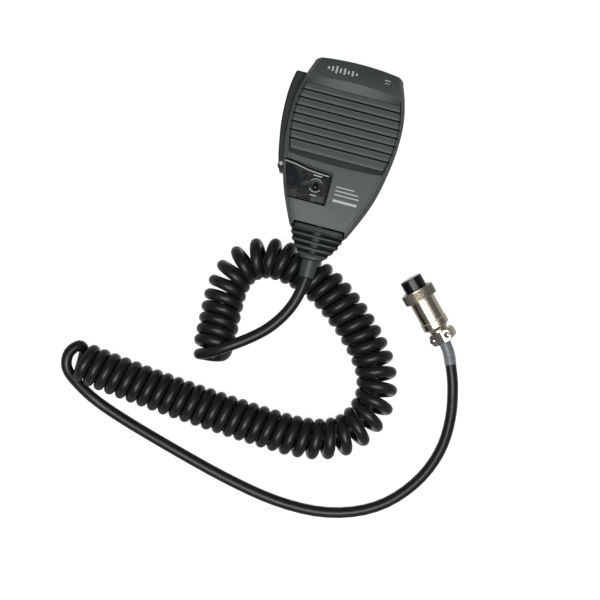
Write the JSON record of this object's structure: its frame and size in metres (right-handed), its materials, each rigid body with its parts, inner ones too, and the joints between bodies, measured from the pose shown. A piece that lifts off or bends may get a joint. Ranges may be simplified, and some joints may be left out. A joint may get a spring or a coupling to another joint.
{
  "type": "hand microphone",
  "caption": "Hand microphone with a push-to-talk lever, lock switch, top keys, hanger button, curly cord and a round screw-on plug.",
  "frame": {"origin": "the middle of the hanger button's face, on the surface that the microphone lies on", "axes": "+Y from the cord end to the top end, +Z out of the front face, +X to the right of someone facing the front"},
  "size_m": [0.2094, 0.2343, 0.0363],
  "materials": {
    "case_grey": "fine-textured dark grey moulding",
    "grille_grey": "fine-textured dark grey moulding",
    "lever_black": "satin blue-black moulding",
    "panel_black": "polished black insert",
    "knob_black": "satin black",
    "inner_plastic": "plain black moulding",
    "steel": "plated steel",
    "board": "green solder mask",
    "capsule": "drawn aluminium can",
    "rubber": "soft black rubber",
    "cord_jacket": "satin black cord jacket",
    "wire": "thin insulated wire",
    "nickel": "nickel plate with a warm cast",
    "insert_black": "polished black moulding",
    "contact": "plated contact",
    "clear_pvc": "clear sleeve"
  },
  "bodies": {
    "case": {"front_shell": "case_grey", "back_shell": "case_grey", "grille": "grille_grey", "switch_panel": "panel_black", "lock_switch": "inner_plastic", "ptt_pin": "steel", "ptt_spring": "steel", "ptt_switch": "inner_plastic", "circuit_board": "board", "mic_capsule": "capsule", "capsule_holder": "rubber", "case_screws": "steel", "board_screws": "steel", "hanger_button": "nickel", "hanger_screw": "steel", "cord_boot": "rubber", "cord_inner": "cord_jacket", "cord_cleat": "inner_plastic", "cleat_screws": "steel", "inner_wires": "wire", "plug_insert": "insert_black", "plug_contacts": "contact", "plug_barrel": "nickel", "barrel_screw": "steel", "plug_rear_shell": "nickel", "clamp_saddle": "nickel", "clamp_screws": "nickel", "up_switch": "inner_plastic", "down_switch": "inner_plastic", "cord_lead_mic": "cord_jacket", "curly_cord": "cord_jacket", "cord_lead_plug": "cord_jacket", "clear_sleeve": "clear_pvc"},
    "ptt": {"ptt_lever": "lever_black"},
    "ptt_switch_plunger": {"ptt_plunger": "inner_plastic"},
    "lock": {"lock_knob": "knob_black"},
    "up_key": {"up_button": "lever_black", "up_plunger": "inner_plastic"},
    "down_key": {"down_button": "lever_black", "down_plunger": "inner_plastic"},
    "ring_carrier": {"ring_retainer": "steel"},
    "ring": {"coupling_ring": "nickel"}
  },
  "joints": [
    {"name": "ptt_press", "type": "hinge", "parent": "case", "child": "ptt", "pos_m": [-0.0272, -0.0158, 0.0197], "axis": [0, 0, -1], "range_deg": [0, 3], "stiffness_Nm_per_rad": 0.35, "springref_deg": -3.44, "deforming": ["ptt_spring"]},
    {"name": "ptt_plunger_slide", "type": "slide", "parent": "case", "child": "ptt_switch_plunger", "axis": [1, 0, 0], "range_m": [0, 0.00106]},
    {"name": "lock_slide", "type": "slide", "parent": "case", "child": "lock", "axis": [0, 1, 0], "range_m": [0, 0.0016]},
    {"name": "up_press", "type": "slide", "parent": "case", "child": "up_key", "axis": [0, -1, 0], "range_m": [0, 0.0005], "stiffness_N_per_m": 900, "springref_m": -0.0006},
    {"name": "down_press", "type": "slide", "parent": "case", "child": "down_key", "axis": [0, -1, 0], "range_m": [0, 0.0005], "stiffness_N_per_m": 900, "springref_m": -0.0006},
    {"name": "ring_slide", "type": "slide", "parent": "case", "child": "ring_carrier", "axis": [-0.6882, 0.7227, 0.0641], "range_m": [0, 0.0025]},
    {"name": "ring_spin", "type": "hinge", "parent": "ring_carrier", "child": "ring", "pos_m": [0.05964, -0.06296, 0.00919], "axis": [-0.6882, 0.7227, 0.0641], "continuous": true}
  ],
  "couplings": [
    {"joint": "ptt_plunger_slide", "follows": "ptt_press", "m_per_rad": 0.02}
  ]
}
